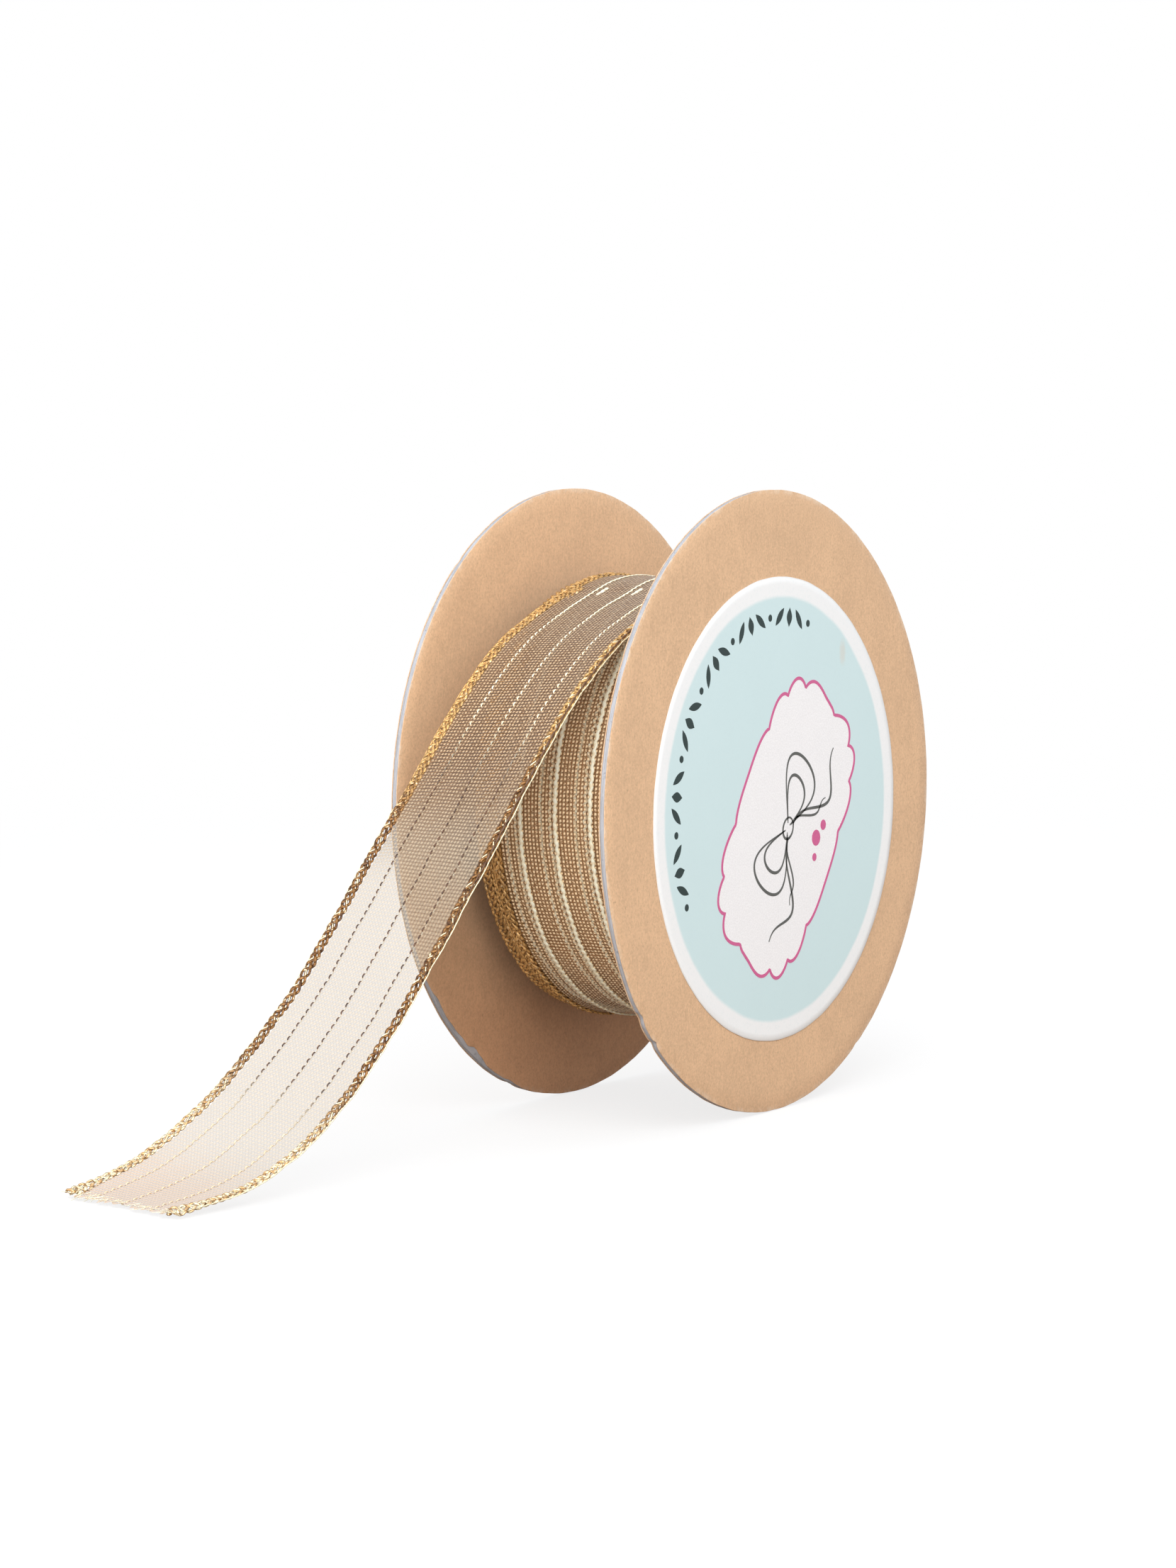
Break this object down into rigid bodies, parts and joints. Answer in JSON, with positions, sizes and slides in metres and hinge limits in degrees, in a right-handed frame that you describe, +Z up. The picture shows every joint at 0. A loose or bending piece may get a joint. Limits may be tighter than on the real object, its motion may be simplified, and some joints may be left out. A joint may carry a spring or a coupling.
{
  "type": "ribbon spool",
  "caption": "Spool with two round card flanges on a paper core, wound with sheer gift ribbon whose loose end runs down to the surface.",
  "frame": {"origin": "middle of the spool, on the axle line through both flanges' holes", "axes": "+Y along the axle, out of the back flange's open hole; the labelled flange faces -Y; +Z up; the loose end runs down to the surface on the -X side"},
  "size_m": [0.1324, 0.0371, 0.076],
  "materials": {
    "grey_board": "raw cut board",
    "brown_facing": "smooth matt paper with a fine fibre fleck",
    "core_paper": "wound paper tube",
    "glue": "dried glue",
    "tape": "clear tape",
    "label_paper": "satin printed paper",
    "sheer_web": "sheer plain weave with a faint shimmer",
    "gold_selvedge": "braided metallic yarn",
    "metallic_stripe": "metallic pinstripe thread"
  },
  "bodies": {
    "spool": {"front_board": "grey_board", "front_facing_outer": "brown_facing", "front_facing_inner": "brown_facing", "back_board": "grey_board", "back_facing_outer": "brown_facing", "back_facing_inner": "brown_facing", "core_tube": "core_paper", "front_glue_bead": "glue", "back_glue_bead": "glue", "start_tape": "tape", "front_label": "label_paper", "wound_web": "sheer_web", "wound_pinstripes": "metallic_stripe", "wound_selvedge_front": "gold_selvedge", "wound_selvedge_back": "gold_selvedge"},
    "loose_end": {"outer_turn_web": "sheer_web", "outer_turn_pinstripes": "metallic_stripe", "outer_turn_selvedges": "gold_selvedge", "tail_web": "sheer_web", "tail_pinstripes": "metallic_stripe", "tail_selvedge_front": "gold_selvedge", "tail_selvedge_back": "gold_selvedge"}
  },
  "joints": [
    {"name": "unwind", "type": "hinge", "parent": "spool", "child": "loose_end", "pos_m": [0, 0, 0], "axis": [0, 1, 0], "continuous": true}
  ]
}
